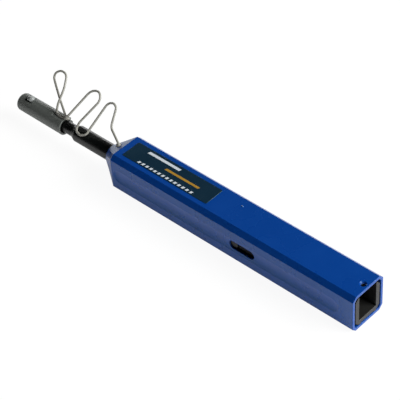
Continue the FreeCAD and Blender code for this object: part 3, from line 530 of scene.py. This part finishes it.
return_coil = coil("return_coil", RETURN_ENDS, radius=2.9, wire=0.8, turns=9)
head_coil = coil("head_coil", HEAD_ENDS, radius=2.0, wire=0.45, turns=6)
for piece, node, body, joint, ends, travel in (
    (return_coil, "return_spring", "core", "push_stroke", RETURN_ENDS, STROKE),
    (head_coil, "head_spring", "head", "head_float", HEAD_ENDS, HEAD_TRAVEL),
):
    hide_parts(node)
    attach(piece, body)
    share = 1 - travel / (ends[1] - ends[0])
    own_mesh(piece)

# The cleaning thread: over the guide pins, through the cam, round the tip's nose and back
THREAD_RADIUS = 0.175
STRAND_Y = 0.65
TURN_X = -54.0
GUIDE_X = 47.0
PACK_Y = -1.5
OVER_PINS = 15.255


def spread(points, step):
    """The same runs with points no further apart than a step."""
    out = []
    for one, two in zip(points, points[1:]):
        count = max(1, math.ceil((two - one).length / step))
        out += [one.lerp(two, part / count) for part in range(count)]
    return out + [points[-1]]


nose = []
for step in range(9):
    angle = math.pi / 2 + math.pi * step / 8
    nose.append((TURN_X + STRAND_Y * math.cos(angle), -STRAND_Y * math.sin(angle), AXIS_Z))
thread_run = [(75.0, PACK_Y, 12.855), (68.9, PACK_Y, OVER_PINS), (52.6, PACK_Y, OVER_PINS)]
thread_run += [(GUIDE_X, -STRAND_Y, AXIS_Z)] + nose + [(GUIDE_X, STRAND_Y, AXIS_Z)]
thread_run += [(62.0, PACK_Y, 5.345)]
thread_points = spread([Vector(point) for point in thread_run], 0.8)
strand = tube("cleaning_strand", thread_points, THREAD_RADIUS, THREAD, sides=8)
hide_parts("cleaning_thread")
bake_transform(strand)


# Plain printed bars on the label: x of the front end, y, width and height
PALE_BAR = (10.8, 3.0, 17.4, 1.3)
AMBER_BAR = (23.0, -0.1, 18.2, 1.1)
DASH_FRONT = 11.2
DASH_Y = -3.8
DASH_SIZE = 1.2
DASH_STEP = 2.2
DASHES = 14
PRINT_RISE = 0.01


def bar(bm, x, y, width, height, lean=0.35):
    """One flat leaning bar on the label's film."""
    half = height / 2
    corners = [(x - lean * half, y - half), (x + width - lean * half, y - half)]
    corners += [(x + width + lean * half, y + half), (x + lean * half, y + half)]
    verts = [bm.verts.new(pen(a, b, LABEL_TOP + PRINT_RISE)) for a, b in corners]
    bm.faces.new(verts)


pale = bmesh.new()
bar(pale, *PALE_BAR)
for step in range(DASHES):
    bar(pale, DASH_FRONT + step * DASH_STEP, DASH_Y, DASH_SIZE, DASH_SIZE)
pale_print = from_bmesh("label_print_pale", pale, PALE_PRINT)
amber = bmesh.new()
bar(amber, *AMBER_BAR)
amber_print = from_bmesh("label_print_amber", amber, AMBER_PRINT)
for piece in (pale_print, amber_print):
    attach(piece, "sleeve")

# Camera
azimuth, elevation, roll = (
    math.radians(angle) for angle in (CAMERA_AZIMUTH, CAMERA_ELEVATION, CAMERA_ROLL)
)
back = Vector((
    math.sin(azimuth) * math.cos(elevation),
    -math.cos(azimuth) * math.cos(elevation),
    math.sin(elevation),
))
level = Vector((math.cos(azimuth), math.sin(azimuth), 0))
upright = back.cross(level)
right = math.cos(roll) * level + math.sin(roll) * upright
up = -math.sin(roll) * level + math.cos(roll) * upright
camera_data = bpy.data.cameras.new("camera")
camera_data.sensor_width = 36.0
camera_data.lens = CAMERA_LENS
camera_data.clip_start = 0.01
camera = bpy.data.objects.new("camera", camera_data)
turned = Matrix((right, up, back)).transposed().to_4x4()
camera.matrix_world = Matrix.Translation(Vector(CAMERA_AT) * MILLIMETRE) @ turned
bpy.context.scene.collection.objects.link(camera)
bpy.context.scene.camera = camera

# Floor, which glows like a light table and is nearly white to the camera
FLOOR_RADIUS = 3.0
FLOOR_GLOW = 0.45
FLOOR_WHITE = 0.88
floor_mesh = bmesh.new()
bmesh.ops.create_circle(floor_mesh, cap_ends=True, segments=64, radius=FLOOR_RADIUS)
floor_mat, floor_tree, floor_links = material("studio_floor")
diffuse = floor_tree["Principled BSDF"]
diffuse.inputs["Base Color"].default_value = (0.82, 0.82, 0.82, 1)
diffuse.inputs["Roughness"].default_value = 0.9
diffuse.inputs["Specular IOR Level"].default_value = 0.0
diffuse.inputs["Emission Color"].default_value = (1, 1, 1, 1)
diffuse.inputs["Emission Strength"].default_value = FLOOR_GLOW
seen = floor_tree.new("ShaderNodeEmission")
seen.inputs["Color"].default_value = (1, 1, 1, 1)
seen.inputs["Strength"].default_value = 1.0
rays = floor_tree.new("ShaderNodeLightPath")
share = floor_tree.new("ShaderNodeMath")
share.operation = "MULTIPLY"
share.inputs[1].default_value = FLOOR_WHITE
mix = floor_tree.new("ShaderNodeMixShader")
floor_links.new(rays.outputs["Is Camera Ray"], share.inputs[0])
floor_links.new(share.outputs[0], mix.inputs[0])
floor_links.new(diffuse.outputs[0], mix.inputs[1])
floor_links.new(seen.outputs[0], mix.inputs[2])
floor_links.new(mix.outputs[0], floor_tree["Material Output"].inputs["Surface"])
floor = from_bmesh("studio_floor", floor_mesh, floor_mat)

# White light card beyond the nozzle, low enough to show only in the faces that slope that way
CARD_AT = (-1.7, 1.05)
CARD_HALF = 1.2
CARD_TOP = 0.45
CARD_GLOW = 2.5
card_mesh = bmesh.new()
across = Vector((CARD_AT[1], -CARD_AT[0], 0)).normalized() * CARD_HALF
foot = Vector((*CARD_AT, 0))
card_corners = (foot - across, foot + across)
card_top = [corner + Vector((0, 0, CARD_TOP)) for corner in reversed(card_corners)]
card_mesh.faces.new([card_mesh.verts.new(corner) for corner in (*card_corners, *card_top)])
card_mat, card_tree, card_links = material("studio_card")
card_shader = card_tree["Principled BSDF"]
card_shader.inputs["Base Color"].default_value = (0.8, 0.8, 0.8, 1)
card_shader.inputs["Emission Color"].default_value = (1, 1, 1, 1)
card_shader.inputs["Emission Strength"].default_value = CARD_GLOW
from_bmesh("studio_card", card_mesh, card_mat)

# Light: a dim world and one wide key lamp from behind on the right
WORLD_LIGHT = 0.02
KEY_DIRECTION = (0.75, 0.35, 0.56)
KEY_DISTANCE = 2.0
KEY_SIZE = 1.3
KEY_LIGHT = 1.68 * math.pi
world = bpy.data.worlds.new("studio")
bpy.context.scene.world = world
world.use_nodes = True
world.node_tree.nodes["Background"].inputs["Color"].default_value = (0.9, 0.95, 1.0, 1)
world.node_tree.nodes["Background"].inputs["Strength"].default_value = WORLD_LIGHT


def softbox(name, direction, distance, size, irradiance):
    """A square lamp that gives the pen this irradiance, where pi renders white as white."""
    data = bpy.data.lights.new(name, "AREA")
    data.shape = "SQUARE"
    data.size = size
    data.energy = irradiance * math.pi * distance ** 2
    lamp = bpy.data.objects.new(name, data)
    towards = Vector(direction).normalized()
    lamp.location = towards * distance
    lamp.rotation_euler = towards.to_track_quat("Z", "Y").to_euler()
    bpy.context.scene.collection.objects.link(lamp)


softbox("key", KEY_DIRECTION, KEY_DISTANCE, KEY_SIZE, KEY_LIGHT)

bpy.context.scene.view_settings.view_transform = "Standard"
